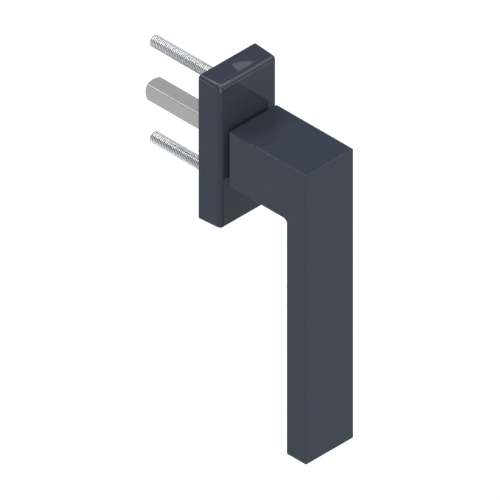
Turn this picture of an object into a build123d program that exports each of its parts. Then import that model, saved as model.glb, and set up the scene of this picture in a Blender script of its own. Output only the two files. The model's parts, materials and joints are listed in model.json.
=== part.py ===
# Window handle with a rectangular rosette
# Millimetres. The origin is where the spindle's axis meets the wall, +Z is up,
# -Y points into the room and +Y into the window sash. A height is a distance
# in front of the wall, along -Y.
from build123d import *
from math import asin, cos, degrees, radians, sin, sqrt, tan
import os

# Rosette cover
rosette_width = 30.0
rosette_height = 64.5
rosette_depth = 10.95
rosette_draft = 2.2
rosette_corner_radius = 1.7
rosette_crown_radius = 7.7
rosette_crown_depth = 3.2
rosette_crown_steps = 4
rosette_wall = 1.5

# Lever
neck_size = 24.5
neck_gap = 2.05
grip_thickness = 10.0
grip_drop = 116.8
lever_projection = 52.6
lever_edge_break = 0.3
lever_inner_radius = 1.8

# Journal of the lever
journal_diameter = 14.0
journal_tail_diameter = 12.0
journal_flat_width = 10.4
journal_end_height = 0.4

# Spindle
spindle_size = 7.0
spindle_corner_radius = 0.35
spindle_reach = 39.0
spindle_tip_angle = 30.0
spindle_tip_face_diameter = 6.6
socket_depth = 30.0
socket_clearance = 0.05

# Fixing screws and their pegs
screw_spacing = 43.0
screw_diameter = 5.0
screw_length = 40.0
screw_neck_diameter = 4.5
screw_head_diameter = 9.2
screw_head_rim = 0.3
screw_head_angle = 90.0
screw_recess_width = 4.6
screw_recess_slot = 1.1
screw_recess_depth = 1.6
screw_recess_taper = 8.0
screw_end_chamfer = 0.5
screw_hole_diameter = 5.4
screw_seat_clearance = 0.05
peg_diameter = 10.0
peg_length = 3.0
peg_end_chamfer = 0.4
thread_start_past_peg = 0.3

# Base plate and hub
cover_lift_margin = 0.1
base_clearance = 0.3
base_corner_radius = 1.0
hub_turning_clearance = 0.35
hub_play = 0.3
bush_wall = 1.2
collar_wall = 1.0
seat_clearance = 0.02

# Bearing
running_clearance = 0.05
glide_ring_thickness = 0.95
glide_ring_clearance = 0.1
bush_setback = 0.2

# Ring in the cover's hole
centering_ring_wall = 0.8
centering_ring_flange = 1.6
centering_ring_flange_thickness = 0.8
centering_ring_clearance = 0.1
centering_ring_setback = 0.1

# Detent
cam_across_flats = 15.2
cam_thickness = 2.95
cam_corner_reach = 8.7
cam_play = 0.05
chamber_clearance = 0.3
spring_thickness = 0.5
spring_length = 12.0
spring_side_play = 0.1
spring_land_length = 1.2
support_plate_thickness = 0.8
support_plate_play = 0.1
support_ear_overhang = 0.6
support_hole_clearance = 0.25

# Washers and retaining ring
wave_thickness = 0.4
wave_rise = 0.4
wave_count = 3
wave_stations = 8
wave_width = 1.9
wave_play = 0.15
thrust_washer_thickness = 0.5
thrust_washer_width = 2.2
washer_clearance = 0.1
retaining_ring_thickness = 1.0
retaining_ring_width = 1.7
retaining_ring_lug_reach = 8.4
retaining_ring_lug_width = 2.6
retaining_ring_eye_diameter = 1.1
retaining_ring_gap = 2.2
groove_depth = 0.25
groove_side_play = 0.1
groove_land = 0.8

# Clip that holds the spindle in its socket
spindle_clip_length = 10.0
spindle_clip_width = 3.6
spindle_clip_thickness = 0.4
spindle_clip_bow = 0.5
spindle_clip_end_distance = 5.4
clip_clearance = 0.1

# Clips that hold the cover on the base plate
cover_clip_span = 13.0
cover_clip_bow = 1.6
cover_clip_thickness = 0.4
cover_clip_width = 1.0
cover_clip_bite = 0.25
cover_clip_shoulder = 1.5
cover_clip_pocket_skin = 0.3
cover_groove_depth = 0.4
cover_groove_play = 0.1


def wall_plane(height):
    """The plane parallel to the wall at a height in front of it; it faces the room."""
    return Plane.XZ.offset(height)


def finish(piece, name):
    """Label a finished piece and write it to its own file."""
    piece.part.label = name
    export_step(piece.part, f"parts/{name}.step")


def draft_loss(height):
    """How much a drafted side has moved in at a height in front of the wall."""
    return height * tan(radians(rosette_draft))


def crown_loss(angle):
    """How much the crown has moved in where its surface has turned to an angle."""
    bulge = cos(radians(rosette_draft)) - cos(radians(angle))
    return draft_loss(crown_height) + rosette_crown_radius * bulge


# Heights of the stack inside the rosette, from the wall to the neck
rim_thickness = neck_gap - 2 * cover_lift_margin
ring_height = journal_end_height + groove_land
thrust_height = ring_height + retaining_ring_thickness
wave_height = thrust_height + thrust_washer_thickness
support_height = wave_height + wave_thickness + wave_rise + wave_play
cam_height = support_height + support_plate_thickness + support_plate_play
shoulder_height = cam_height + cam_thickness
chamber_height = shoulder_height + cam_play
neck_height = rosette_depth + neck_gap
collar_height = neck_height - cam_play - glide_ring_thickness
bush_height = chamber_height + bush_setback
cover_inner_height = rosette_depth - rosette_wall
hub_height = cover_inner_height - centering_ring_flange_thickness - hub_play
spindle_clip_height = journal_end_height + socket_depth - spindle_clip_end_distance

# Radii round the lever's axis
journal_radius = journal_diameter / 2
tail_radius = journal_tail_diameter / 2
bush_inner_radius = journal_radius + running_clearance
bush_outer_radius = bush_inner_radius + bush_wall
collar_radius = bush_outer_radius + seat_clearance + collar_wall
ring_inner_radius = collar_radius + centering_ring_clearance
cover_hole_radius = ring_inner_radius + centering_ring_wall
wall_across = rosette_wall / cos(radians(rosette_draft))
cover_inner_half_width = rosette_width / 2 - wall_across - draft_loss(hub_height)
hub_radius = cover_inner_half_width - hub_turning_clearance
groove_radius = tail_radius - groove_depth
chamber_radius = cam_corner_reach + chamber_clearance

# The room the leaf springs have beside the cam
cam_half = cam_across_flats / 2
spring_inner = cam_half + cam_play
spring_land = spring_inner + spring_thickness + cam_play
spring_travel = cam_corner_reach + spring_thickness + spring_side_play
spring_half_length = spring_length / 2 + spring_side_play
support_half_width = spring_travel + support_ear_overhang
support_half_height = spring_half_length + support_ear_overhang

# Base plate outline
base_half_width = rosette_width / 2 - wall_across - draft_loss(rim_thickness) - base_clearance
base_half_height = rosette_height / 2 - wall_across - draft_loss(rim_thickness) - base_clearance
cover_end_wall = rosette_height / 2 - wall_across

# The crown leaves the drafted sides along an arc and ends in an edge round the
# flat front. The angles are those of its surface at the ends of its steps.
crown_height = rosette_depth - rosette_crown_depth
crown_centre_height = crown_height - rosette_crown_radius * sin(radians(rosette_draft))
crown_end_angle = degrees(asin((rosette_depth - crown_centre_height) / rosette_crown_radius))
crown_angles = [
    rosette_draft + step / rosette_crown_steps * (crown_end_angle - rosette_draft)
    for step in range(rosette_crown_steps + 1)
]

# Clip that holds the cover
clip_nose = cover_end_wall + cover_clip_bite
clip_pocket_height = rim_thickness - cover_clip_pocket_skin
clip_pocket_half = cover_clip_span / 2 + clip_clearance
clip_pocket_floor = clip_nose - cover_clip_bow - 2 * cover_clip_thickness - clip_clearance
clip_base_height = (clip_pocket_height - cover_clip_width) / 2
clip_mouth_half = clip_pocket_half - cover_clip_shoulder
clip_half = cover_clip_span / 2 - cover_clip_thickness
clip_shoulder_line = (
    clip_nose - cover_clip_bow * (clip_mouth_half / clip_half) ** 2 + clip_clearance
)

screw_places = [(0, screw_spacing / 2), (0, -screw_spacing / 2)]

os.makedirs("parts", exist_ok=True)


# Handle: neck and grip are one casting with the journal turned on its back
with BuildPart() as handle:
    with BuildSketch(Plane.YZ) as side_view:
        with BuildLine():
            Polyline(
                (-neck_height, neck_size / 2),
                (-lever_projection, neck_size / 2),
                (-lever_projection, -grip_drop),
                (-lever_projection + grip_thickness, -grip_drop),
                (-lever_projection + grip_thickness, -neck_size / 2),
                (-neck_height, -neck_size / 2),
                close=True,
            )
        make_face()
    extrude(amount=neck_size / 2, both=True)
    inner_corner = Vector(0, -lever_projection + grip_thickness, -neck_size / 2)
    under_neck = handle.edges().filter_by(Axis.X).sort_by_distance(inner_corner)[0]
    fillet(under_neck, lever_inner_radius)
    chamfer(handle.edges().filter_by(GeomType.LINE), lever_edge_break)
    with BuildSketch(wall_plane(neck_height)):
        Circle(journal_radius)
    extrude(amount=shoulder_height - neck_height)
    with BuildSketch(wall_plane(shoulder_height)):
        Circle(tail_radius)
        Rectangle(journal_flat_width, journal_tail_diameter, mode=Mode.INTERSECT)
    extrude(amount=journal_end_height - shoulder_height)
    with BuildSketch(wall_plane(ring_height - groove_side_play)):
        Circle(tail_radius + seat_clearance)
        Circle(groove_radius, mode=Mode.SUBTRACT)
    extrude(amount=retaining_ring_thickness + groove_side_play, mode=Mode.SUBTRACT)
    with BuildSketch(wall_plane(journal_end_height)):
        Rectangle(spindle_size + 2 * socket_clearance, spindle_size + 2 * socket_clearance)
    extrude(amount=socket_depth, mode=Mode.SUBTRACT)
    clip_room = spindle_clip_bow + spindle_clip_thickness
    with BuildSketch(wall_plane(spindle_clip_height)):
        with Locations((0, spindle_size / 2 + socket_clearance + clip_room / 2)):
            Rectangle(spindle_clip_width + 2 * clip_clearance, clip_room)
    clip_room_length = spindle_clip_length + 2 * clip_clearance
    extrude(amount=clip_room_length / 2, both=True, mode=Mode.SUBTRACT)
finish(handle, "handle")


# Index cam: square with rounded corners, driven by the two flats of the journal
with BuildPart() as index_cam:
    with BuildSketch(wall_plane(cam_height)):
        Rectangle(cam_across_flats, cam_across_flats)
        Circle(cam_corner_reach, mode=Mode.INTERSECT)
        with BuildSketch(mode=Mode.SUBTRACT):
            Circle(tail_radius + seat_clearance)
            Rectangle(
                journal_flat_width + 2 * seat_clearance, cam_across_flats, mode=Mode.INTERSECT
            )
    extrude(amount=cam_thickness)
finish(index_cam, "index_cam")


# Wave washer: a flat ring pressed into three waves, as a strip lofted round the axis
def wave_height_at(angle):
    """Height of the wave washer's wall side at an angle round the lever's axis."""
    return wave_height + wave_rise / 2 * (1 - cos(radians(wave_count * angle)))


wave_inner = tail_radius + washer_clearance
wave_outer = wave_inner + wave_width
wave_steps = wave_stations * wave_count
with BuildPart() as wave_washer:
    for half in (0, 1):
        for step in range(wave_steps // 2 + 1):
            angle = 180 * half + step * 360 / wave_steps
            station = Plane(
                origin=(0, -wave_height_at(angle), 0),
                x_dir=(cos(radians(angle)), 0, sin(radians(angle))),
                z_dir=(-sin(radians(angle)), 0, cos(radians(angle))),
            )
            with BuildSketch(station):
                with Locations(((wave_inner + wave_outer) / 2, -wave_thickness / 2)):
                    Rectangle(wave_width, wave_thickness)
        loft(ruled=True)
finish(wave_washer, "wave_washer")


# Thrust washer
with BuildPart() as thrust_washer:
    with BuildSketch(wall_plane(thrust_height)):
        Circle(tail_radius + washer_clearance + thrust_washer_width)
        Circle(tail_radius + washer_clearance, mode=Mode.SUBTRACT)
    extrude(amount=thrust_washer_thickness)
finish(thrust_washer, "thrust_washer")


# Retaining ring with two eyes for the pliers
with BuildPart() as retaining_ring:
    with BuildSketch(wall_plane(ring_height)):
        Circle(groove_radius + retaining_ring_width)
        lug_middle = (groove_radius + retaining_ring_lug_reach) / 2
        lug_across = retaining_ring_gap + 2 * retaining_ring_lug_width
        with Locations((0, lug_middle)):
            Rectangle(lug_across, retaining_ring_lug_reach - groove_radius)
        Circle(groove_radius, mode=Mode.SUBTRACT)
        with Locations((0, lug_middle)):
            Rectangle(retaining_ring_gap, retaining_ring_lug_reach, mode=Mode.SUBTRACT)
        eye_middle = (retaining_ring_gap + retaining_ring_lug_width) / 2
        with Locations((-eye_middle, lug_middle), (eye_middle, lug_middle)):
            Circle(retaining_ring_eye_diameter / 2, mode=Mode.SUBTRACT)
        Circle(retaining_ring_lug_reach, mode=Mode.INTERSECT)
    extrude(amount=retaining_ring_thickness)
finish(retaining_ring, "retaining_ring")


# Spindle: square bar whose ends are turned to a blunt cone
spindle_length = spindle_reach + journal_end_height + socket_depth - socket_clearance
with BuildPart() as spindle:
    with BuildSketch(wall_plane(-spindle_reach)):
        RectangleRounded(spindle_size, spindle_size, spindle_corner_radius)
    extrude(amount=spindle_length)
    spindle_corner = sqrt(2) * spindle_size / 2
    tip_face = spindle_tip_face_diameter / 2
    cone_length = (spindle_corner - tip_face) * tan(radians(spindle_tip_angle))
    tip_back = spindle_reach
    tip_front = spindle_reach - spindle_length
    with BuildSketch(Plane.XY):
        with BuildLine():
            Polyline(
                (0, tip_back),
                (tip_face, tip_back),
                (spindle_corner, tip_back - cone_length),
                (spindle_corner, tip_front + cone_length),
                (tip_face, tip_front),
                (0, tip_front),
                close=True,
            )
        make_face()
    revolve(axis=Axis.Y, mode=Mode.INTERSECT)
finish(spindle, "spindle")


# Spindle clip: a bowed strip in the socket's upper wall
clip_low = spindle_size / 2 + clip_clearance / 2
with BuildPart() as spindle_clip:
    with BuildSketch(Plane.YZ) as clip_side:
        with BuildLine() as clip_line:
            ThreePointArc(
                (-spindle_clip_height - spindle_clip_length / 2, clip_low + spindle_clip_bow),
                (-spindle_clip_height, clip_low),
                (-spindle_clip_height + spindle_clip_length / 2, clip_low + spindle_clip_bow),
            )
            offset(amount=spindle_clip_thickness, side=Side.LEFT)
        make_face()
    extrude(amount=spindle_clip_width / 2, both=True)
finish(spindle_clip, "spindle_clip")


# Base plate: rim, hub, collar and locating pegs in one casting
with BuildPart() as base_plate:
    with BuildSketch(wall_plane(0)):
        RectangleRounded(2 * base_half_width, 2 * base_half_height, base_corner_radius)
    extrude(amount=rim_thickness)
    with BuildSketch(wall_plane(0)):
        Circle(hub_radius)
    extrude(amount=hub_height)
    with BuildSketch(wall_plane(0)):
        Circle(collar_radius)
    extrude(amount=collar_height)
    with BuildSketch(wall_plane(0)):
        with Locations(*screw_places):
            Circle(peg_diameter / 2)
    extrude(amount=-peg_length)
    peg_ends = base_plate.faces().sort_by(Axis.Y)[-2:]
    chamfer(peg_ends.edges(), peg_end_chamfer)
    with Locations(wall_plane(rim_thickness)):
        with Locations(*screw_places):
            CounterSinkHole(
                screw_hole_diameter / 2,
                screw_head_diameter / 2 + screw_head_rim + screw_seat_clearance,
                counter_sink_angle=screw_head_angle,
            )
    # Detent chamber: round for the cam, with a pocket and two lands for each spring
    pocket_middle = spring_travel / 2
    pocket_half_length = spring_half_length - spring_land_length
    with BuildSketch(wall_plane(0)):
        Circle(chamber_radius)
        Rectangle(2 * spring_land, 2 * spring_half_length)
        Rectangle(2 * spring_travel, 2 * pocket_half_length)
    extrude(amount=chamber_height, mode=Mode.SUBTRACT)
    # Seat of the support plate, which reaches over the springs
    with BuildSketch(wall_plane(0)):
        Circle(chamber_radius)
        Rectangle(
            2 * (support_half_width + seat_clearance), 2 * (support_half_height + seat_clearance)
        )
    extrude(amount=support_height + support_plate_thickness, mode=Mode.SUBTRACT)
    # Bore of the bearing bush, open to the chamber
    with BuildSketch(wall_plane(chamber_height)):
        Circle(bush_outer_radius + seat_clearance)
    extrude(amount=collar_height - chamber_height, mode=Mode.SUBTRACT)
    # Pockets of the two cover clips, narrower at the mouth than inside
    for end in (1, -1):
        pocket_depth = base_half_height - clip_pocket_floor
        inside_depth = clip_shoulder_line - clip_pocket_floor
        with BuildSketch(wall_plane(0)):
            with Locations((0, end * (clip_pocket_floor + pocket_depth / 2))):
                Rectangle(2 * clip_mouth_half, pocket_depth)
            with Locations((0, end * (clip_pocket_floor + inside_depth / 2))):
                Rectangle(2 * clip_pocket_half, inside_depth)
        extrude(amount=clip_pocket_height, mode=Mode.SUBTRACT)
finish(base_plate, "base_plate")


# Bearing bush
with BuildPart() as bearing_bush:
    with BuildSketch(wall_plane(bush_height)):
        Circle(bush_outer_radius)
        Circle(bush_inner_radius, mode=Mode.SUBTRACT)
    extrude(amount=collar_height - bush_height)
finish(bearing_bush, "bearing_bush")


# Glide ring between the collar and the neck
with BuildPart() as glide_ring:
    with BuildSketch(wall_plane(collar_height)):
        Circle(collar_radius)
        Circle(journal_radius + glide_ring_clearance, mode=Mode.SUBTRACT)
    extrude(amount=glide_ring_thickness)
finish(glide_ring, "glide_ring")


# Support plate: closes the chamber and keeps the springs in
with BuildPart() as support_plate:
    with BuildSketch(wall_plane(support_height)):
        Circle(chamber_radius - seat_clearance)
        Rectangle(2 * support_half_width, 2 * support_half_height)
        Circle(tail_radius + support_hole_clearance, mode=Mode.SUBTRACT)
    extrude(amount=support_plate_thickness)
finish(support_plate, "support_plate")


# Detent springs: flat strips that the cam's corners bow outwards
spring_width = cam_thickness
for side, name in ((-1, "detent_spring_left"), (1, "detent_spring_right")):
    with BuildPart() as detent_spring:
        with BuildSketch(Plane.YZ.offset(side * (spring_inner + spring_thickness / 2))):
            with Locations((-(cam_height + spring_width / 2), 0)):
                Rectangle(spring_width, spring_length)
        extrude(amount=spring_thickness / 2, both=True)
    finish(detent_spring, name)


# Cover clips: strips bowed outwards, with the nose in the cover's groove
for end, name in ((1, "cover_clip_upper"), (-1, "cover_clip_lower")):
    with BuildPart() as cover_clip:
        with BuildSketch(wall_plane(clip_base_height)):
            with BuildLine():
                nose = clip_nose - cover_clip_thickness
                foot = nose - cover_clip_bow
                ThreePointArc((-clip_half, end * foot), (0, end * nose), (clip_half, end * foot))
                offset(amount=cover_clip_thickness, side=Side.LEFT if end > 0 else Side.RIGHT)
            make_face()
        extrude(amount=cover_clip_width)
    finish(cover_clip, name)


# Fixing screws: countersunk head with a cross recess
head_height = rim_thickness
head_drop = screw_head_rim + (screw_head_diameter - screw_neck_diameter) / 2
thread_start = peg_length + thread_start_past_peg
screw_end = screw_length - head_height
for (x, z), name in zip(screw_places, ("screw_upper", "screw_lower")):
    with BuildPart() as screw:
        with BuildSketch(Plane.YZ):
            with BuildLine():
                Polyline(
                    (-head_height, z),
                    (-head_height, z + screw_head_diameter / 2),
                    (-head_height + screw_head_rim, z + screw_head_diameter / 2),
                    (-head_height + head_drop, z + screw_neck_diameter / 2),
                    (thread_start, z + screw_neck_diameter / 2),
                    (thread_start, z + screw_diameter / 2),
                    (screw_end - screw_end_chamfer, z + screw_diameter / 2),
                    (screw_end, z + screw_diameter / 2 - screw_end_chamfer),
                    (screw_end, z),
                    close=True,
                )
            make_face()
        revolve(axis=Axis((0, 0, z), (0, 1, 0)))
        with BuildSketch(wall_plane(head_height)):
            with Locations((x, z)):
                Rectangle(screw_recess_width, screw_recess_slot)
                Rectangle(screw_recess_slot, screw_recess_width)
        extrude(amount=-screw_recess_depth, taper=screw_recess_taper, mode=Mode.SUBTRACT)
    finish(screw, name)


# Rosette cover: a drafted shell, open at the wall
with BuildPart() as rosette_cover:
    with BuildSketch(wall_plane(0)):
        RectangleRounded(rosette_width, rosette_height, rosette_corner_radius)
    extrude(amount=crown_height, taper=rosette_draft)
    for angle, next_angle in zip(crown_angles, crown_angles[1:]):
        loss = crown_loss(angle)
        step_height = crown_centre_height + rosette_crown_radius * sin(radians(angle))
        step_end = crown_centre_height + rosette_crown_radius * sin(radians(next_angle))
        with BuildSketch(wall_plane(step_height)):
            RectangleRounded(
                rosette_width - 2 * loss, rosette_height - 2 * loss, rosette_corner_radius - loss
            )
        extrude(amount=step_end - step_height, taper=(angle + next_angle) / 2)
    with BuildSketch(wall_plane(0)):
        Rectangle(rosette_width - 2 * wall_across, rosette_height - 2 * wall_across)
    extrude(amount=cover_inner_height, taper=rosette_draft, mode=Mode.SUBTRACT)
    with BuildSketch(wall_plane(0)):
        Circle(cover_hole_radius)
    extrude(amount=rosette_depth, mode=Mode.SUBTRACT)
    # Grooves for the noses of the cover clips
    groove_reach = cover_end_wall + cover_groove_depth
    groove_low = clip_base_height - cover_groove_play
    with BuildSketch(wall_plane(groove_low)):
        Rectangle(2 * clip_mouth_half, 2 * groove_reach)
    extrude(amount=cover_clip_width + 2 * cover_groove_play, mode=Mode.SUBTRACT)
finish(rosette_cover, "rosette_cover")


# Centering ring, snapped into the cover's hole from behind
with BuildPart() as centering_ring:
    with BuildSketch(wall_plane(cover_inner_height)):
        Circle(cover_hole_radius - seat_clearance)
        Circle(ring_inner_radius, mode=Mode.SUBTRACT)
    extrude(amount=rosette_wall - centering_ring_setback)
    with BuildSketch(wall_plane(cover_inner_height)):
        Circle(cover_hole_radius + centering_ring_flange)
        Circle(ring_inner_radius, mode=Mode.SUBTRACT)
    extrude(amount=-centering_ring_flange_thickness)
finish(centering_ring, "centering_ring")
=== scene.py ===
# %% [markdown]
# Window handle: from a construction model to a finished look
#
# The construction model holds every piece of the handle at its real size. This
# lesson dresses it: the pieces that show are modelled again with clean edges,
# all of them get a finish, and a small studio is set up round them.
# The frame is loaded first. Its nodes stay where they are, and everything else
# is placed by them.

# %% Load the frame
import json
from math import cos, pi, radians, sin, sqrt, tan

import bmesh
import bpy
from mathutils import Matrix, Vector


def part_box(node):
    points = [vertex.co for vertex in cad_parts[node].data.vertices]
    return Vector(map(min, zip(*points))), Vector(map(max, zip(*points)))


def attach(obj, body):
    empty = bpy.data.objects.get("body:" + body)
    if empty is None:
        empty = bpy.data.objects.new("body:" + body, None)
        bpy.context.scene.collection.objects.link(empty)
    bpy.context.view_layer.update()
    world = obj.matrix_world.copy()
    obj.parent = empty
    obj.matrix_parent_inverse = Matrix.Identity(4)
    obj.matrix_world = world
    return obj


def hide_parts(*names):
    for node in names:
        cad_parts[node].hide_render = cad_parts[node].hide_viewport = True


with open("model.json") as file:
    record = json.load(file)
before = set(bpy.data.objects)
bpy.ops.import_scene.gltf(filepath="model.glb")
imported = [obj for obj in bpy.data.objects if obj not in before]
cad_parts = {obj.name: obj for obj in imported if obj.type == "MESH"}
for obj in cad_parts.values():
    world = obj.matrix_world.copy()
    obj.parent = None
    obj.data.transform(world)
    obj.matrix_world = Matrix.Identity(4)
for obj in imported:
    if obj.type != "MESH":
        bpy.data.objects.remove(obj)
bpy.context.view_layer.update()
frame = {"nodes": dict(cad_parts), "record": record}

MM = 0.001

# %% [markdown]
# The sizes come from the frame where a node's box gives them. What a box can't
# give, such as a wall or an edge radius, is named here once. All are in
# millimetres, because that is how such a handle is drawn. The wall is the plane
# Y = 0, the room is on the -Y side and the window sash on the +Y side.

# %% Read the main sizes
def limits(node):
    """The lowest and highest corner of a node, in millimetres."""
    low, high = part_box(node)
    return low / MM, high / MM


lever_low, lever_high = limits("handle")
cover_low, cover_high = limits("rosette_cover")
spindle_low, spindle_high = limits("spindle")
screw_low, screw_high = limits("screw_upper")

rosette_depth = -cover_low.y
neck_half = lever_high.x
neck_back = -13.0
lever_size = [round(v, 1) for v in lever_high - lever_low]
print("lever size in mm", lever_size, "rosette depth", round(rosette_depth, 1))

# %% [markdown]
# Modelling by hand means: add a primitive, go into edit mode, select something,
# change it. A script does the same, with two habits. It deselects everything
# before it adds a primitive, since an operator acts on all that is selected. And
# it selects faces and edges by where they lie or which way they face, not by
# their numbers, which change with every step.

# %% Helpers for selecting
facing = 0.9  # the least share of an axis in the normal of a face that looks along it
touching = 0.01  # two places this near, in millimetres, count as one
nearby = 0.1  # the same for a corner that a draft or a rounding has moved a little
long_run = 1.0  # an edge that goes further than this along an axis, in millimetres, follows it


def clear_selection():
    """Leave edit mode and deselect every object."""
    if bpy.context.mode != "OBJECT":
        bpy.ops.object.mode_set(mode="OBJECT")
    bpy.ops.object.select_all(action="DESELECT")


def activate(piece):
    """In object mode, select one object alone and make it the active one."""
    clear_selection()
    piece.select_set(True)
    bpy.context.view_layer.objects.active = piece


def edit(piece):
    """Go into edit mode on one object."""
    activate(piece)
    bpy.ops.object.mode_set(mode="EDIT")


def pick_faces(piece, wanted):
    """In edit mode, select the faces that a test on middle (mm) and normal accepts."""
    bpy.ops.mesh.select_mode(type="FACE")
    bpy.ops.mesh.select_all(action="DESELECT")
    mesh = bmesh.from_edit_mesh(piece.data)
    for face in mesh.faces:
        face.select_set(wanted(face.calc_center_median() / MM, face.normal))
    bmesh.update_edit_mesh(piece.data)


def pick_end(piece, place):
    """In edit mode, select the flat end of a turned piece, at a place on Y in millimetres."""
    pick_faces(piece, lambda middle, normal: normal.y > facing and middle.y > place - touching)


def pick_edges(piece, wanted):
    """In edit mode, select the edges that a test on both end points (mm) accepts."""
    bpy.ops.mesh.select_mode(type="EDGE")
    bpy.ops.mesh.select_all(action="DESELECT")
    mesh = bmesh.from_edit_mesh(piece.data)
    for edge in mesh.edges:
        start, end = (corner.co / MM for corner in edge.verts)
        edge.select_set(wanted(start, end))
    bmesh.update_edit_mesh(piece.data)


def extrude(x=0.0, y=0.0, z=0.0):
    """Extrude what is selected by a distance in millimetres."""
    move = (x * MM, y * MM, z * MM)
    bpy.ops.mesh.extrude_region_move(TRANSFORM_OT_translate={"value": move})


def scale_about(centre, x=1.0, y=1.0, z=1.0):
    """Scale what is selected about a point in millimetres."""
    bpy.ops.transform.resize(value=(x, y, z), center_override=[v * MM for v in centre])


def round_edges(radius, segments):
    """Round the selected edges."""
    bpy.ops.mesh.bevel(
        offset=radius * MM, segments=segments, profile=0.5, affect="EDGES", clamp_overlap=False
    )


# %% [markdown]
# A shop makes such parts by adding and cutting: a boss is cast on, a bore is
# drilled out. The helpers below do the same with blocks and rods that are added
# at their size and place, and with a boolean whose exact solver keeps the walls
# closed. A cutter runs a little past what it cuts, so that no two faces fall on
# each other. Smoothing is the last step, when a piece gets no more cuts.

# %% Helpers for making and joining solids
overrun = 1.0  # how far a cutter runs past what it cuts, in millimetres
merge_distance = 0.0005  # points this near, in millimetres, are made one
flat_weight = 100  # the large faces set the shading of the small ones beside them


def add_block(name, low, high):
    """A block between two corners in millimetres."""
    clear_selection()
    size = [(b - a) * MM for a, b in zip(low, high)]
    middle = [(a + b) / 2 * MM for a, b in zip(low, high)]
    bpy.ops.mesh.primitive_cube_add(size=1, location=middle, scale=size)
    block = bpy.context.object
    block.name = name
    bpy.ops.object.transform_apply(location=True, rotation=True, scale=True)
    return block


def add_rod(name, radius, y_from, y_to, sides=96, x=0.0, z=0.0):
    """A round rod along Y, in millimetres."""
    clear_selection()
    bpy.ops.mesh.primitive_cylinder_add(
        vertices=sides,
        radius=radius * MM,
        depth=abs(y_to - y_from) * MM,
        location=(x * MM, (y_from + y_to) / 2 * MM, z * MM),
        rotation=(pi / 2, 0, 0),
    )
    rod = bpy.context.object
    rod.name = name
    bpy.ops.object.transform_apply(location=True, rotation=True, scale=True)
    return rod


def combine(piece, tool, operation):
    """Join, cut or intersect a piece with a tool body, which is used up."""
    activate(piece)
    bpy.ops.object.modifier_add(type="BOOLEAN")
    modifier = piece.modifiers[-1]
    modifier.operation = operation
    modifier.solver = "EXACT"
    modifier.object = tool
    bpy.ops.object.modifier_apply(modifier=modifier.name)
    bpy.data.objects.remove(tool)


def smooth(piece, sharp_angle=30.0):
    """Merge doubles, turn normals outwards, and shade round parts smooth and flats flat."""
    edit(piece)
    bpy.ops.mesh.select_all(action="SELECT")
    bpy.ops.mesh.remove_doubles(threshold=merge_distance * MM)
    bpy.ops.mesh.normals_make_consistent(inside=False)
    activate(piece)
    bpy.ops.object.shade_smooth_by_angle(angle=radians(sharp_angle))
    bpy.ops.object.modifier_add(type="WEIGHTED_NORMAL")
    modifier = piece.modifiers[-1]
    modifier.keep_sharp = True
    modifier.weight = flat_weight
    bpy.ops.object.modifier_apply(modifier=modifier.name)


def report(piece):
    """Print how big a piece is and how many faces it has."""
    size = [round(v / MM, 2) for v in piece.dimensions]
    print(piece.name, "size in mm", size, "faces", len(piece.data.polygons))


# %% [markdown]
# The lever is one casting: a square neck, and a flat bar that hangs from its
# front. It starts as the neck's block. The front face is extruded to the bar's
# thickness, and the lower face of that new part is extruded down. This keeps
# the whole L in one skin, with no seam where neck and bar meet.
# The inner corner has a real fillet, because metal flows badly round a sharp
# one. The other edges are only broken, by a radius so small that it shows as a
# thin line of light.

# %% Lever body
grip_thickness = 10.0
inner_radius = 1.8
lever_edge_radius = 0.3
lever_edge_segments = 4
least_edge_angle = 50.0

neck_front = lever_low.y + grip_thickness
lever = add_block(
    "lever", (-neck_half, neck_front, -neck_half), (neck_half, neck_back, neck_half)
)
edit(lever)
pick_faces(lever, lambda middle, normal: normal.y < -facing)
extrude(y=-grip_thickness)
pick_faces(lever, lambda middle, normal: normal.z < -facing and middle.y < neck_front)
extrude(z=lever_low.z + neck_half)


def is_inner_corner(start, end):
    """True for the edge where the neck's underside meets the bar's back."""
    along_x = abs(start.x - end.x) > neck_half
    middle = (start + end) / 2
    at_height = abs(middle.z + neck_half) < nearby
    return along_x and at_height and abs(middle.y - neck_front) < nearby


pick_edges(lever, is_inner_corner)
round_edges(inner_radius, segments=10)
activate(lever)
bpy.ops.object.modifier_add(type="BEVEL")
edge_break = lever.modifiers[-1]
edge_break.width = lever_edge_radius * MM
edge_break.segments = lever_edge_segments
edge_break.limit_method = "ANGLE"
edge_break.angle_limit = radians(least_edge_angle)
edge_break.use_clamp_overlap = False
bpy.ops.object.modifier_apply(modifier=edge_break.name)
report(lever)

# %% [markdown]
# The journal is turned on the neck's back. It runs in the bearing bush, then
# steps down to a thinner tail with two flats, which drive the index cam. Near
# its end a groove takes the retaining ring. A lathe would cut this from one
# rod, and so does the script: each step is the end face of the rod, inset or
# scaled, and extruded again.

# %% Journal
journal_radius = 7.0
shoulder_height = 7.5
tail_radius = 6.0
tail_half_width = 5.2
groove_radius = 5.75
groove_from, groove_to = 2.2, 1.1
journal_end = lever_high.y

journal = add_rod("journal", journal_radius, neck_back - overrun, -shoulder_height)
edit(journal)
turned_steps = [
    (tail_radius, -groove_from),
    (groove_radius, -groove_to),
    (tail_radius, journal_end),
]
radius_now = journal_radius
place_now = -shoulder_height
for radius, place in turned_steps:
    pick_end(journal, place_now)
    extrude()
    step = radius / radius_now
    scale_about((0, place_now, 0), x=step, z=step)
    extrude(y=place - place_now)
    radius_now, place_now = radius, place
bpy.ops.object.mode_set(mode="OBJECT")
for side in (-1, 1):
    near, far = sorted((side * tail_half_width, side * 2 * tail_radius))
    flat = add_block(
        "flat_cutter", (near, -shoulder_height, -journal_radius), (far, overrun, journal_radius)
    )
    combine(journal, flat, "DIFFERENCE")
combine(lever, journal, "UNION")
report(lever)

# %% [markdown]
# The spindle sits in a square socket that runs through the journal into the
# neck. The socket is a cut: a block of its size is taken away. A second, small
# block makes room for the clip that presses on the spindle.

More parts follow.
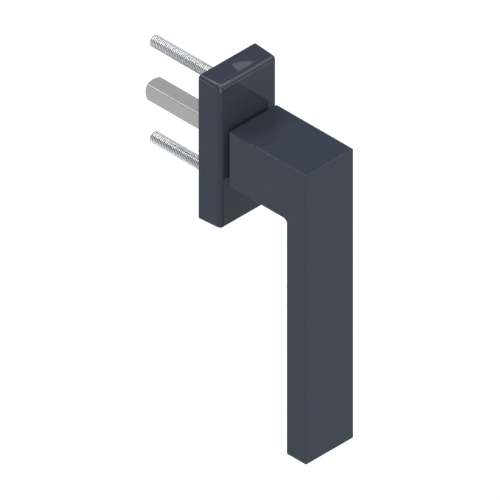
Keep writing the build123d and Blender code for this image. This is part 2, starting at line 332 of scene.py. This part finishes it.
# %% Socket
socket_play = 0.05
clip_room = 0.1
clip_low, clip_high = limits("spindle_clip")

spindle_half = spindle_high.x
socket_half = spindle_half + socket_play
socket_end = spindle_low.y - socket_play
socket = add_block(
    "socket", (-socket_half, socket_end, -socket_half), (socket_half, overrun, socket_half)
)
combine(lever, socket, "DIFFERENCE")
clip_pocket = add_block(
    "clip_pocket",
    (clip_low.x - clip_room, clip_low.y - clip_room, 0),
    (clip_high.x + clip_room, clip_high.y + clip_room, clip_high.z + clip_room),
)
combine(lever, clip_pocket, "DIFFERENCE")
smooth(lever)
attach(lever, "lever")
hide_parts("handle")
report(lever)

# %% [markdown]
# The rosette's cover is a thin shell. Its sides lean in by 2.2 degrees, so that
# it leaves its mould, and the last few millimetres lean in a little more, which
# shows as a fine line all round. The shell starts as a block without a back. Its
# front face is scaled for the draft and extruded for the second part. Solidify
# grows the wall inwards, and only then are the outer edges rounded. So the inside
# keeps the plain corners of the mould's core, and the three edges that meet in a
# corner of the front run into a piece of a ball.

# %% Cover of the rosette
draft_angle = 2.2
front_draft_angle = 5.5
front_part = 2.85
cover_wall = 1.5
cover_edge_radius = 1.5
line_half_width = 0.12
cover_hole_radius = 10.17

line_depth = rosette_depth - front_part
line_loss = line_depth * tan(radians(draft_angle))
front_loss = line_loss + front_part * tan(radians(front_draft_angle))


def narrow_front(loss_now, loss_next):
    """Scale the selected front face so that its sides move in."""
    factors = [(half - loss_next) / (half - loss_now) for half in (cover_high.x, cover_high.z)]
    scale_about((0, 0, 0), x=factors[0], z=factors[1])


cover_shell = add_block(
    "cover_shell", (cover_low.x, -line_depth, cover_low.z), (cover_high.x, 0, cover_high.z)
)
edit(cover_shell)
pick_faces(cover_shell, lambda middle, normal: normal.y < -facing)
narrow_front(0, line_loss)
extrude(y=-front_part)
narrow_front(line_loss, front_loss)
pick_faces(cover_shell, lambda middle, normal: normal.y > facing)
bpy.ops.mesh.delete(type="FACE")
activate(cover_shell)
bpy.ops.object.modifier_add(type="SOLIDIFY")
wall = cover_shell.modifiers[-1]
wall.thickness = cover_wall * MM
wall.offset = -1
wall.use_even_offset = True
bpy.ops.object.modifier_apply(modifier=wall.name)
edit(cover_shell)
pick_faces(cover_shell, lambda middle, normal: normal.y > facing and middle.y > -cover_wall)
scale_about((0, 0, 0), y=0)


def is_outer_corner(point):
    """True for a corner of the outer skin, at any depth."""
    at_side = abs(point.x) > cover_high.x - front_loss - nearby
    return at_side and abs(point.z) > cover_high.z - front_loss - nearby


def is_outer_edge(start, end):
    """True for the edges that run to the front, and for those round the front."""
    to_front = abs(start.y - end.y) > long_run
    round_front = max(start.y, end.y) < nearby - rosette_depth
    return is_outer_corner(start) and is_outer_corner(end) and (to_front or round_front)


def is_on_line(point):
    """True for a point where the two drafts meet on the outer skin."""
    at_side = abs(point.x) > cover_high.x - cover_wall
    at_end = abs(point.z) > cover_high.z - cover_wall
    return abs(point.y + line_depth) < touching and (at_side or at_end)


pick_edges(cover_shell, is_outer_edge)
round_edges(cover_edge_radius, segments=10)
pick_edges(cover_shell, lambda start, end: is_on_line(start) and is_on_line(end))
round_edges(line_half_width, segments=2)
bpy.ops.object.mode_set(mode="OBJECT")
report(cover_shell)

# %% [markdown]
# The lever's collar comes through a round hole in the cover, and a groove in
# each end wall takes the nose of a spring clip. Both are cuts.

# %% Hole and grooves of the cover
nose_low, nose_high = limits("cover_clip_upper")
groove_play = 0.1
groove_half_width = 5.1
groove_reach = nose_high.z + 0.15
hole_from = -rosette_depth - overrun
hole_to = -rosette_depth + 4.0

hole = add_rod("hole", cover_hole_radius, hole_from, hole_to, sides=128)
combine(cover_shell, hole, "DIFFERENCE")
clip_groove = add_block(
    "clip_groove",
    (-groove_half_width, nose_low.y - groove_play, -groove_reach),
    (groove_half_width, nose_high.y + groove_play, groove_reach),
)
combine(cover_shell, clip_groove, "DIFFERENCE")
smooth(cover_shell)
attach(cover_shell, "cover")
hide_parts("rosette_cover")
report(cover_shell)

# %% [markdown]
# The spindle is a piece of drawn square bar, with its ends turned to a blunt
# cone so that it finds its way into the gear. The bar's long edges are rounded
# in edit mode. For the ends, a turned body with both cones is made, and only
# what the bar and the turned body share is kept. The bar starts a little too
# long, so that no two faces of the two bodies lie on each other.

# %% Spindle
bar_edge_radius = 0.45
tip_radius = 3.3
tip_angle = 30.0

past_end = Vector((0, overrun, 0))
spindle_bar = add_block("spindle_bar", spindle_low - past_end, spindle_high + past_end)
edit(spindle_bar)
pick_edges(spindle_bar, lambda start, end: abs(start.y - end.y) > long_run)
round_edges(bar_edge_radius, segments=6)
bpy.ops.object.mode_set(mode="OBJECT")

bar_reach = sqrt(2) * spindle_half
cone_length = (bar_reach - tip_radius) * tan(radians(tip_angle))
turned = add_rod("turned", bar_reach, spindle_low.y + cone_length, spindle_high.y - cone_length)
edit(turned)
for side in (-1, 1):
    end = spindle_high.y if side > 0 else spindle_low.y
    pick_faces(turned, lambda middle, normal: normal.y * side > facing)
    extrude(y=side * cone_length)
    scale_about((0, end, 0), x=tip_radius / bar_reach, z=tip_radius / bar_reach)
bpy.ops.object.mode_set(mode="OBJECT")
combine(spindle_bar, turned, "INTERSECT")
smooth(spindle_bar, sharp_angle=20.0)
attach(spindle_bar, "lever")
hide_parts("spindle")
report(spindle_bar)

# %% [markdown]
# The fixing screws are M5 screws with a countersunk head and a long thread. A
# blank is turned first: from the head's thin rim the end face is drawn out to
# the cone, the neck, the thicker part for the thread and the chamfered tip. All
# of it stays in one skin.

# %% Screw blank
head_radius = 4.6
head_rim = 0.3
neck_radius = 2.25
thread_radius = 2.5
thread_start = 3.3
tip_chamfer = 0.5
head_top = screw_low.y
screw_tip = screw_high.y

screw = add_rod("upper_screw", head_radius, head_top, head_top + head_rim, sides=64)
edit(screw)
head_end = head_top + head_rim
cone_end = head_end + head_radius - neck_radius
blank_steps = [
    (neck_radius, cone_end),
    (neck_radius, thread_start),
    (thread_radius, thread_start),
    (thread_radius, screw_tip - tip_chamfer),
    (thread_radius - tip_chamfer, screw_tip),
]
radius_now, place_now = head_radius, head_end
for radius, place in blank_steps:
    pick_end(screw, place_now)
    extrude(y=place - place_now)
    step = radius / radius_now
    scale_about((0, place, 0), x=step, z=step)
    radius_now, place_now = radius, place
bpy.ops.object.mode_set(mode="OBJECT")
report(screw)

# %% [markdown]
# The driver's recess is a cross of two slots whose walls lean in. Each slot is
# a block with its inner face scaled down.

# %% Cross recess
recess_half_width = 2.3
recess_half_slot = 0.55
recess_depth = 1.6
recess_wall_angle = 8.0

recess_taper = recess_depth * tan(radians(recess_wall_angle))
recess_slots = (
    (recess_half_width, recess_half_slot),
    (recess_half_slot, recess_half_width),
)
for half_x, half_z in recess_slots:
    slot = add_block(
        "slot", (-half_x, head_top, -half_z), (half_x, head_top + recess_depth, half_z)
    )
    edit(slot)
    pick_faces(slot, lambda middle, normal: normal.y > facing)
    scale_about(
        (0, head_top + recess_depth, 0), x=1 - recess_taper / half_x, z=1 - recess_taper / half_z
    )
    pick_faces(slot, lambda middle, normal: normal.y < -facing)
    extrude(y=-overrun)
    bpy.ops.object.mode_set(mode="OBJECT")
    combine(screw, slot, "DIFFERENCE")
report(screw)

# %% [markdown]
# The thread is metric, with a pitch of 0.8 mm and small flats on crest and root.
# It could be a relief in the finish, but then it wouldn't show in the screw's
# outline. Rings would show there, but they don't climb. So it is cut as a die
# cuts it: the groove's profile is drawn once, wound along a helix by the Screw
# modifier, closed at both ends, and taken away from the blank.

# %% Thread cutter
pitch = 0.8
root_radius = 2.009
root_flat = 0.133
flank_angle = 30.0
cutter_radius = 2.55
cutter_run_in = 0.3
spare_turns = 2
steps_in_a_turn = 32

flank = (cutter_radius - root_radius) * tan(radians(flank_angle))
turns = int((screw_tip - thread_start) / pitch) + spare_turns
cutter_start = thread_start - cutter_run_in
clear_selection()
bpy.ops.mesh.primitive_plane_add(size=MM, location=(0, 0, 0))
thread_cutter = bpy.context.object
thread_cutter.name = "thread_cutter"
edit(thread_cutter)
profile = bmesh.from_edit_mesh(thread_cutter.data)
groove_profile = [
    (root_radius, flank),
    (root_radius, flank + root_flat),
    (cutter_radius, 2 * flank + root_flat),
    (cutter_radius, 0),
]
for corner, (radius, along) in zip(profile.faces[:][0].verts, groove_profile):
    corner.co = Vector((radius, cutter_start + along, 0)) * MM
bmesh.update_edit_mesh(thread_cutter.data)
bpy.ops.mesh.delete(type="ONLY_FACE")
activate(thread_cutter)
bpy.ops.object.modifier_add(type="SCREW")
winding = thread_cutter.modifiers[-1]
winding.axis = "Y"
winding.screw_offset = pitch * MM
winding.iterations = turns
winding.steps = steps_in_a_turn
winding.render_steps = steps_in_a_turn
bpy.ops.object.modifier_apply(modifier=winding.name)
edit(thread_cutter)
bpy.ops.mesh.select_all(action="DESELECT")
bpy.ops.mesh.select_mode(type="EDGE")
bpy.ops.mesh.select_non_manifold()
bpy.ops.mesh.edge_face_add()
bpy.ops.mesh.select_all(action="SELECT")
bpy.ops.mesh.normals_make_consistent(inside=False)
bpy.ops.object.mode_set(mode="OBJECT")
report(thread_cutter)
combine(screw, thread_cutter, "DIFFERENCE")
report(screw)

# %% [markdown]
# Both screws are alike, so the second is a copy with a mesh of its own. Each is
# moved to its place by its mesh, so that its object stays at the origin.

# %% Two screws in their places
def move_mesh(piece, x=0.0, y=0.0, z=0.0):
    """Move a piece by its mesh, in millimetres."""
    activate(piece)
    piece.location = Vector((x, y, z)) * MM
    bpy.ops.object.transform_apply(location=True, rotation=True, scale=True)


screw_height = (screw_low.z + screw_high.z) / 2
smooth(screw)
activate(screw)
bpy.ops.object.duplicate()
lower_screw = bpy.context.object
lower_screw.name = "lower_screw"
for piece, node, height in (
    (screw, "screw_upper", screw_height),
    (lower_screw, "screw_lower", -screw_height),
):
    move_mesh(piece, z=height)
    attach(piece, "rosette")
    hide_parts(node)
    report(piece)

# %% [markdown]
# A finish is a material whose colour, gloss and relief come from patterns in
# the piece's own coordinates. The helpers below make the three parts that all
# finishes share: a noise of a given grain, a colour or number that follows it,
# and a relief in micrometres.

# %% Helpers for finishes
noise_low, noise_high = 0.3, 0.7  # nearly all of a noise lies between these


def new_finish(name):
    """A material with a principled shader; returns both."""
    finish = bpy.data.materials.new(name)
    finish.use_nodes = True
    return finish, finish.node_tree.nodes["Principled BSDF"]


def grain(finish, size, detail=2.0, along_y=1.0):
    """Noise with grains of a size in millimetres, which may be drawn out along Y."""
    nodes = finish.node_tree.nodes
    links = finish.node_tree.links
    place = nodes.new("ShaderNodeTexCoord")
    mapping = nodes.new("ShaderNodeMapping")
    mapping.inputs["Scale"].default_value = (1, 1 / along_y, 1)
    noise = nodes.new("ShaderNodeTexNoise")
    noise.inputs["Scale"].default_value = 1 / (size * MM)
    noise.inputs["Detail"].default_value = detail
    links.new(place.outputs["Object"], mapping.inputs["Vector"])
    links.new(mapping.outputs["Vector"], noise.inputs["Vector"])
    return noise.outputs["Fac"]


def follow(finish, pattern, socket, low, high):
    """Let a number on the shader follow a pattern, between two values."""
    spread = finish.node_tree.nodes.new("ShaderNodeMapRange")
    spread.inputs["From Min"].default_value = noise_low
    spread.inputs["From Max"].default_value = noise_high
    spread.inputs["To Min"].default_value = low
    spread.inputs["To Max"].default_value = high
    finish.node_tree.links.new(pattern, spread.inputs["Value"])
    finish.node_tree.links.new(spread.outputs["Result"], socket)


def tint(finish, pattern, socket, dark, light):
    """Let a colour on the shader follow a pattern, between two colours."""
    ramp = finish.node_tree.nodes.new("ShaderNodeValToRGB")
    ends = ((noise_low, dark), (noise_high, light))
    for element, (place, colour) in zip(ramp.color_ramp.elements, ends):
        element.position = place
        element.color = (*colour, 1)
    finish.node_tree.links.new(pattern, ramp.inputs["Fac"])
    finish.node_tree.links.new(ramp.outputs["Color"], socket)


def relief(finish, shader, pattern, micrometres):
    """Let the surface rise and fall with a pattern."""
    bump = finish.node_tree.nodes.new("ShaderNodeBump")
    bump.inputs["Strength"].default_value = 1
    bump.inputs["Distance"].default_value = micrometres * 1e-6
    finish.node_tree.links.new(pattern, bump.inputs["Height"])
    finish.node_tree.links.new(bump.outputs["Normal"], shader.inputs["Normal"])


# %% [markdown]
# Lever and cover have a semi-gloss powder coat in anthracite. Powder melts into
# a skin that is never quite flat: it has a faint orange peel, about 1.5 mm from
# crest to crest. What the coat mirrors is sharp but weak beside its colour, so
# the roughness is small and the specular level is low.

# %% Powder coat
def powder_coat():
    finish, shader = new_finish("anthracite_powder_coat")
    flecks = grain(finish, size=0.5, detail=3)
    peel = grain(finish, size=1.5, detail=1)
    dark, light = (0.0355, 0.0380, 0.0490), (0.0385, 0.0410, 0.0530)
    tint(finish, flecks, shader.inputs["Base Color"], dark, light)
    follow(finish, peel, shader.inputs["Roughness"], low=0.05, high=0.08)
    shader.inputs["Specular IOR Level"].default_value = 0.095
    relief(finish, shader, peel, micrometres=1.0)
    return finish


# %% [markdown]
# Spindle and screws are steel with a thin coat of zinc. The bar was drawn
# through a die, which leaves fine lines along it, and so its gloss and relief
# follow a noise that is drawn out along Y. It also has a sealed, clear skin.
# Stamped washers have the same zinc with an even grain. On the screws the colour
# follows the distance from the screw's axis: the thread's roots are painted
# darker than its crests, a painted shade that makes the thread's rings show.

# %% Plated and spring steel
def drawn_steel():
    finish, shader = new_finish("plated_drawn_steel")
    lines = grain(finish, size=0.25, detail=3, along_y=60)
    shader.inputs["Metallic"].default_value = 1
    dark, light = (0.345, 0.290, 0.262), (0.375, 0.320, 0.292)
    tint(finish, lines, shader.inputs["Base Color"], dark, light)
    follow(finish, lines, shader.inputs["Roughness"], low=0.34, high=0.44)
    shader.inputs["Coat Weight"].default_value = 1
    shader.inputs["Coat Roughness"].default_value = 0.08
    relief(finish, shader, lines, micrometres=1.5)
    return finish


def plated_steel():
    finish, shader = new_finish("plated_steel_part")
    speckle = grain(finish, size=0.3, detail=4)
    shader.inputs["Metallic"].default_value = 1
    dark, light = (0.54, 0.53, 0.51), (0.62, 0.61, 0.59)
    tint(finish, speckle, shader.inputs["Base Color"], dark, light)
    follow(finish, speckle, shader.inputs["Roughness"], low=0.14, high=0.22)
    relief(finish, shader, speckle, micrometres=1.0)
    return finish


def thread_steel_painted_root_shade():
    finish, shader = new_finish("plated_thread_painted_root_shade")
    nodes = finish.node_tree.nodes
    links = finish.node_tree.links
    place = nodes.new("ShaderNodeTexCoord")
    split = nodes.new("ShaderNodeSeparateXYZ")
    height = nodes.new("ShaderNodeMath")
    height.operation = "ABSOLUTE"
    from_axis = nodes.new("ShaderNodeMath")
    from_axis.operation = "SUBTRACT"
    from_axis.inputs[1].default_value = screw_height * MM
    across = nodes.new("ShaderNodeCombineXYZ")
    distance = nodes.new("ShaderNodeVectorMath")
    distance.operation = "LENGTH"
    depth = nodes.new("ShaderNodeMapRange")
    depth.inputs["From Min"].default_value = root_radius * MM
    depth.inputs["From Max"].default_value = thread_radius * MM
    links.new(place.outputs["Object"], split.inputs["Vector"])
    links.new(split.outputs["Z"], height.inputs[0])
    links.new(height.outputs["Value"], from_axis.inputs[0])
    links.new(split.outputs["X"], across.inputs["X"])
    links.new(from_axis.outputs["Value"], across.inputs["Z"])
    links.new(across.outputs["Vector"], distance.inputs[0])
    links.new(distance.outputs["Value"], depth.inputs["Value"])
    shader.inputs["Metallic"].default_value = 1
    speckle = grain(finish, size=0.3, detail=4)
    # Dark in the roots, light on the crests: painted shade in the thread's grooves.
    dark, light = (0.30, 0.283, 0.276), (0.84, 0.79, 0.77)
    tint(finish, depth.outputs["Result"], shader.inputs["Base Color"], dark, light)
    follow(finish, speckle, shader.inputs["Roughness"], low=0.26, high=0.34)
    relief(finish, shader, speckle, micrometres=1.0)
    return finish


def spring_steel():
    finish, shader = new_finish("blued_spring_steel")
    temper = grain(finish, size=3.0, detail=2)
    lines = grain(finish, size=0.15, detail=2)
    shader.inputs["Metallic"].default_value = 1
    blue, straw = (0.21, 0.24, 0.31), (0.33, 0.32, 0.31)
    tint(finish, temper, shader.inputs["Base Color"], blue, straw)
    follow(finish, lines, shader.inputs["Roughness"], low=0.22, high=0.34)
    relief(finish, shader, lines, micrometres=0.8)
    return finish


# %% [markdown]
# The base plate is a raw zinc casting: dull grey, with the flow of the metal as
# soft clouds and a fine grain from the die. The index cam is pressed and
# sintered from powder, so it is darker, oily and full of pores.

# %% Cast zinc and sintered steel
def cast_zinc():
    finish, shader = new_finish("raw_cast_zinc")
    clouds = grain(finish, size=6.0, detail=5)
    skin = grain(finish, size=0.25, detail=4)
    shader.inputs["Metallic"].default_value = 1
    dark, light = (0.38, 0.385, 0.395), (0.47, 0.47, 0.475)
    tint(finish, clouds, shader.inputs["Base Color"], dark, light)
    follow(finish, skin, shader.inputs["Roughness"], low=0.42, high=0.60)
    relief(finish, shader, skin, micrometres=6)
    return finish


def sintered_steel():
    finish, shader = new_finish("sintered_steel")
    pores = grain(finish, size=0.12, detail=5)
    shader.inputs["Metallic"].default_value = 1
    dark, light = (0.14, 0.13, 0.12), (0.25, 0.24, 0.23)
    tint(finish, pores, shader.inputs["Base Color"], dark, light)
    follow(finish, pores, shader.inputs["Roughness"], low=0.35, high=0.60)
    relief(finish, shader, pores, micrometres=8)
    return finish


# %% [markdown]
# Bush and rings are nylon. Moulded nylon has a fine satin skin, and the natural
# kind is a warm off-white that lets a little light in.

# %% Nylon
def nylon(name, dark, light, glow):
    finish, shader = new_finish(name)
    skin = grain(finish, size=0.2, detail=3)
    tint(finish, skin, shader.inputs["Base Color"], dark, light)
    follow(finish, skin, shader.inputs["Roughness"], low=0.38, high=0.50)
    shader.inputs["Subsurface Weight"].default_value = glow
    shader.inputs["Subsurface Scale"].default_value = 0.5 * MM
    relief(finish, shader, skin, micrometres=3)
    return finish


# %% [markdown]
# Each node of the frame names its finish in the record. A node keeps its mesh
# and only gets the new material in its slot. The new pieces get theirs the same
# way.

# %% Give every piece its finish
finishes = {
    "powder_coat": powder_coat(),
    "plated_steel": plated_steel(),
    "cast_zinc": cast_zinc(),
    "white_nylon": nylon("natural_nylon", (0.72, 0.71, 0.66), (0.79, 0.78, 0.74), 0.15),
    "black_nylon": nylon("black_nylon", (0.018, 0.018, 0.020), (0.024, 0.024, 0.026), 0.0),
    "sintered_steel": sintered_steel(),
    "spring_steel": spring_steel(),
}
for subpart in frame["record"]["subparts"]:
    node = frame["nodes"][subpart["node"]]
    node.material_slots[0].material = finishes[subpart["material_slot"]]

drawn = drawn_steel()
threaded = thread_steel_painted_root_shade()
for piece, finish in (
    (lever, finishes["powder_coat"]),
    (cover_shell, finishes["powder_coat"]),
    (spindle_bar, drawn),
    (screw, threaded),
    (lower_screw, threaded),
):
    piece.data.materials.clear()
    piece.data.materials.append(finish)
print("finishes:", len(bpy.data.materials))

# %% [markdown]
# The studio has a pale floor well below the handle, a pale dome that is a
# little darker and cooler overhead, and softboxes at two sides. The floor is
# lifted to white for the camera and for mirrors alike, so metal shows it too,
# and it still keeps the handle's shadow. The dome is white at the horizon, and
# the camera and the metal both see it as it is. The lamps stay at a plain level.

# %% Floor and dome
floor_height = -350.0
floor_size = 14.0
floor_lift = 0.25
paper_grey = 0.8
dome_horizon = (1.0, 1.0, 1.0)
dome_overhead = (0.35, 0.51, 0.63)
dome_fade_end = 0.5  # the sine of the height, seen from the handle, where the fade ends

clear_selection()
bpy.ops.mesh.primitive_plane_add(size=floor_size, location=(0, 0, floor_height * MM))
floor = bpy.context.object
floor.name = "floor"


def seen_directly(tree):
    """1 for rays of the camera, of a mirror or through glass, and 0 for the rest."""
    path = tree.nodes.new("ShaderNodeLightPath")
    either = tree.nodes.new("ShaderNodeMath")
    either.operation = "MAXIMUM"
    tree.links.new(path.outputs["Is Camera Ray"], either.inputs[0])
    tree.links.new(path.outputs["Is Glossy Ray"], either.inputs[1])
    any_of_three = tree.nodes.new("ShaderNodeMath")
    any_of_three.operation = "MAXIMUM"
    tree.links.new(either.outputs["Value"], any_of_three.inputs[0])
    tree.links.new(path.outputs["Is Transmission Ray"], any_of_three.inputs[1])
    return any_of_three.outputs["Value"]


paper = bpy.data.materials.new("studio_paper")
paper.use_nodes = True
tree = paper.node_tree
shader = tree.nodes["Principled BSDF"]
shader.inputs["Base Color"].default_value = (paper_grey, paper_grey, paper_grey, 1)
shader.inputs["Roughness"].default_value = 0.9
shader.inputs["Specular IOR Level"].default_value = 0
shader.inputs["Emission Color"].default_value = (1, 1, 1, 1)
lift = tree.nodes.new("ShaderNodeMath")
lift.operation = "MULTIPLY"
lift.inputs[1].default_value = floor_lift
tree.links.new(seen_directly(tree), lift.inputs[0])
tree.links.new(lift.outputs["Value"], shader.inputs["Emission Strength"])
floor.data.materials.append(paper)

world = bpy.data.worlds.new("dome")
bpy.context.scene.world = world
world.use_nodes = True
tree = world.node_tree
background = tree.nodes["Background"]
direction = tree.nodes.new("ShaderNodeTexCoord")
height = tree.nodes.new("ShaderNodeSeparateXYZ")
fade = tree.nodes.new("ShaderNodeValToRGB")
fade.color_ramp.elements[0].position = 0.0
fade.color_ramp.elements[0].color = (*dome_horizon, 1)
fade.color_ramp.elements[1].position = dome_fade_end
fade.color_ramp.elements[1].color = (*dome_overhead, 1)
tree.links.new(direction.outputs["Generated"], height.inputs["Vector"])
tree.links.new(height.outputs["Z"], fade.inputs["Fac"])
tree.links.new(fade.outputs["Color"], background.inputs["Color"])
print("floor at", floor_height, "mm, dome from", dome_horizon, "to", dome_overhead)

# %% [markdown]
# A rounded edge mirrors a whole arc of the room, so the softboxes show as bands
# along the edges. Which part of an edge mirrors which part of the room follows
# from the law of reflection, and so each box is placed by the slopes, in degrees
# from level, at which its band has to start and end.

# %% Softboxes
box_distance = 2.0
box_brightness = 6.0
front_width = 0.5
back_width = 0.34
up = Vector((0, 0, 1))
view = Vector((1, 1, -1)).normalized()
room_side = (0, -1, 0)
left_side = (-1, 0, 0)


def mirrored(side, slope, lean=0.0):
    """Where the camera looks after a surface that slopes down to a side and leans to the room."""
    normal = Vector(side) * sin(radians(slope)) + up * cos(radians(slope))
    normal += Vector(room_side) * tan(radians(lean))
    return view.reflect(normal.normalized())


def add_lamp(name, middle, along, across, brightness):
    """A flat lamp with two sides given as vectors; its back is where along x across points."""
    lamp = bpy.data.lights.new(name, "AREA")
    lamp.shape = "RECTANGLE"
    lamp.size = along.length
    lamp.size_y = across.length
    lamp.energy = brightness * pi * along.length * across.length
    lamp_object = bpy.data.objects.new(name, lamp)
    bpy.context.scene.collection.objects.link(lamp_object)
    back = along.cross(across).normalized()
    first_axis = along.normalized()
    turn = Matrix((first_axis, back.cross(first_axis), back)).transposed()
    lamp_object.matrix_world = Matrix.Translation(middle) @ turn.to_4x4()
    lamp_object.visible_camera = False
    print(name, "sides in mm", round(along.length / MM, 1), round(across.length / MM, 1))
    return lamp_object


def add_softbox(name, first, halfway, last, brightness, width):
    """A strip of light across an arc of directions, from first by halfway to last."""
    middle = (first + 2 * halfway + last).normalized()
    along = (last - first).normalized() * 2 * box_distance * tan(first.angle(last) / 2)
    across = middle.cross(along).normalized() * width
    add_lamp(name, middle * box_distance, along, across, brightness)


bands = [
    ("front_box_high", room_side, 0.0, (14, 32), front_width),
    ("front_box_low", room_side, 0.0, (32, 48), front_width),
    ("back_box_high", left_side, draft_angle, (5, 24), back_width),
    ("back_box_low", left_side, draft_angle, (24, 43), back_width),
]
for name, side, lean, (low, high), width in bands:
    arc = [mirrored(side, slope, lean) for slope in (low, (low + high) / 2, high)]
    add_softbox(name, *arc, box_brightness, width)

# %% [markdown]
# One more box, wider and weaker, stands at the left. It fills the faces that look
# that way, so that they don't sink into black.

# %% Fill from the left
fill_brightness = 2.8
fill_width = 1.2
fill_x, fill_y, fill_z = -0.7, -0.62, 0.3
fill_reach = 0.25

fill_steps = (fill_reach, 0.0, -fill_reach)
fill_arc = [Vector((fill_x + step, fill_y - step, fill_z)) for step in fill_steps]
add_softbox("left_fill", *fill_arc, fill_brightness, fill_width)

# %% [markdown]
# Small flat lamps near the rosette do the rest, as a photographer's little
# reflectors do. Only mirror rays see them, so they light nothing else, and they
# shine to one side only. They are placed from the middle of the ball-shaped
# corner at the cover's upper left, since the bands and lines meet there.

# %% Small lamps
panel_distance = 30.0
ball_side = cover_edge_radius + front_loss
corner_inset = Vector((ball_side, cover_edge_radius, -ball_side))
corner_centre = Vector((-cover_high.x, -rosette_depth, cover_high.z)) + corner_inset
print("middle of the ball-shaped corner", [round(v, 2) for v in corner_centre])


def add_panel(name, corner, beside, above, brightness):
    """A small lamp that only mirrors see, facing the rosette, from three corners in mm."""
    along = (beside - corner) * MM
    across = (above - corner) * MM
    middle = (beside + above) / 2 * MM
    if along.cross(across).dot(middle - corner_centre * MM) < 0:
        along = -along
    panel = add_lamp(name, middle, along, across, brightness)
    panel.visible_diffuse = False
    return panel


# %% [markdown]
# On the cover's flat top lies a soft patch of light, with one round side and two
# straight ones. The lamp for it is cut to a quarter of an ellipse by a pattern
# on the lamp itself: it shines only where the distance from its first corner, in
# shares of its own sides, is less than one. Its place is the patch's place on
# the top, carried on along the mirrored ray.

# %% Lamp for the patch
patch_apex = (-2.3, -7.9)
patch_length = 8.0
patch_depth = 4.7
patch_turn = radians(11)
patch_brightness = 3.6


def over_top(along, across):
    """The lamp's point that is mirrored so far from the patch's apex, along and across it."""
    x = patch_apex[0] + along * cos(patch_turn) + across * sin(patch_turn)
    y = patch_apex[1] - along * sin(patch_turn) + across * cos(patch_turn)
    on_top = Vector((x, y, cover_high.z + y * tan(radians(draft_angle))))
    return on_top + mirrored(room_side, draft_angle) * panel_distance


patch_corners = over_top(0, 0), over_top(patch_length, 0), over_top(0, patch_depth)
patch = add_panel("patch_lamp", *patch_corners, patch_brightness)
patch.data.use_nodes = True
tree = patch.data.node_tree
on_lamp = tree.nodes.new("ShaderNodeNewGeometry")
from_apex = tree.nodes.new("ShaderNodeVectorMath")
from_apex.operation = "LENGTH"
inside = tree.nodes.new("ShaderNodeMath")
inside.operation = "LESS_THAN"
inside.inputs[1].default_value = 1
tree.links.new(on_lamp.outputs["Parametric"], from_apex.inputs[0])
tree.links.new(from_apex.outputs["Value"], inside.inputs[0])
tree.links.new(inside.outputs["Value"], tree.nodes["Emission"].inputs["Strength"])

# %% [markdown]
# The ball-shaped corner mirrors most of the room in a few pixels. An arc of
# narrow lamps goes over it and joins the two bands there. The arc is small, so
# that the flat faces round the corner don't mirror it as well.

# %% Lamps for the corner
corner_reach = 12.0
corner_width = 14.4
corner_from, corner_to = 48.0, 216.5
corner_lamps = 16
corner_brightness = 6.5

straight_out = Vector((1, 1, 0)) / sqrt(2)
sideways = Vector((1, -1, 0)) / sqrt(2) * corner_width
step_angle = radians(corner_to - corner_from) / corner_lamps
strip_length = 2 * corner_reach * tan(step_angle / 2)
for number in range(corner_lamps):
    turn = radians(corner_from) + (number + 0.5) * step_angle
    towards = straight_out * cos(turn) + up * sin(turn)
    onwards = (up * cos(turn) - straight_out * sin(turn)) * strip_length
    corner = corner_centre + towards * corner_reach - (onwards + sideways) / 2
    name = "corner_lamp_%d" % (number + 1)
    add_panel(name, corner, corner + onwards, corner + sideways, corner_brightness)

# %% [markdown]
# Three thin lamps draw a bright line each: one where the front's rounded edge
# ends, one along the fine line on the top, and one where the left side's rounded
# edge ends. Each is as long as its line, and as wide as the part of the room
# that is mirrored between two slopes of the edge. The one for the top stops
# short of the right end, because the lever's neck would mirror the rest.

# %% Lamps for the thin lines
rounding_slopes = (73, 80)
top_line_shares = (0.35, 0.65)
top_line_end = 8.0
front_brightness = 8.0
top_brightness = 6.0
left_brightness = 11.0


def add_line_lamp(name, start, run, side, lean, slopes, brightness):
    """A thin lamp for an edge that starts at a point and runs along a vector, both in mm."""
    low, high = (mirrored(side, slope, lean) * panel_distance for slope in slopes)
    add_panel(name, start + low, start + low + run, start + high, brightness)


start = Vector((corner_centre.x, corner_centre.y - cover_edge_radius, corner_centre.z))
run = Vector((-2 * corner_centre.x, 0, 0))
add_line_lamp("front_line_lamp", start, run, room_side, 0.0, rounding_slopes, front_brightness)

start = Vector((corner_centre.x, -line_depth, cover_high.z - line_loss))
run = Vector((top_line_end - corner_centre.x, 0, 0))
draft_change = front_draft_angle - draft_angle
top_slopes = [draft_angle + share * draft_change for share in top_line_shares]
add_line_lamp("top_line_lamp", start, run, room_side, 0.0, top_slopes, top_brightness)

loss_here = -corner_centre.y * tan(radians(draft_angle))
left_edge_top = cover_high.z - cover_edge_radius - loss_here
start = Vector((loss_here - cover_high.x, corner_centre.y, left_edge_top))
run = Vector((-loss_here, -corner_centre.y, loss_here))
add_line_lamp(
    "left_line_lamp", start, run, left_side, draft_angle, rounding_slopes, left_brightness
)

# %% [markdown]
# The picture is a parallel view from the left, the front and above, in which
# all three axes are shortened alike. One pixel stands for the same length all
# over it, so the width of the view follows from the picture's 500 pixels.

# %% Camera
picture_side = 500
pixels_in_a_millimetre = 2.743
azimuth, elevation = radians(-45), radians(35.264)
aim = Vector((-11.96, -23.48, -35.44)) * MM
camera_distance = 600.0

back = Vector((sin(azimuth) * cos(elevation), -cos(azimuth) * cos(elevation), sin(elevation)))
camera_data = bpy.data.cameras.new("camera")
camera_data.type = "ORTHO"
camera_data.ortho_scale = picture_side / pixels_in_a_millimetre * MM
camera = bpy.data.objects.new("camera", camera_data)
bpy.context.scene.collection.objects.link(camera)
camera.location = aim + back * camera_distance * MM
camera.rotation_euler = back.to_track_quat("Z", "Y").to_euler()
bpy.context.scene.camera = camera
bpy.context.scene.view_settings.view_transform = "Standard"
print("the picture is", round(picture_side / pixels_in_a_millimetre, 1), "mm wide")
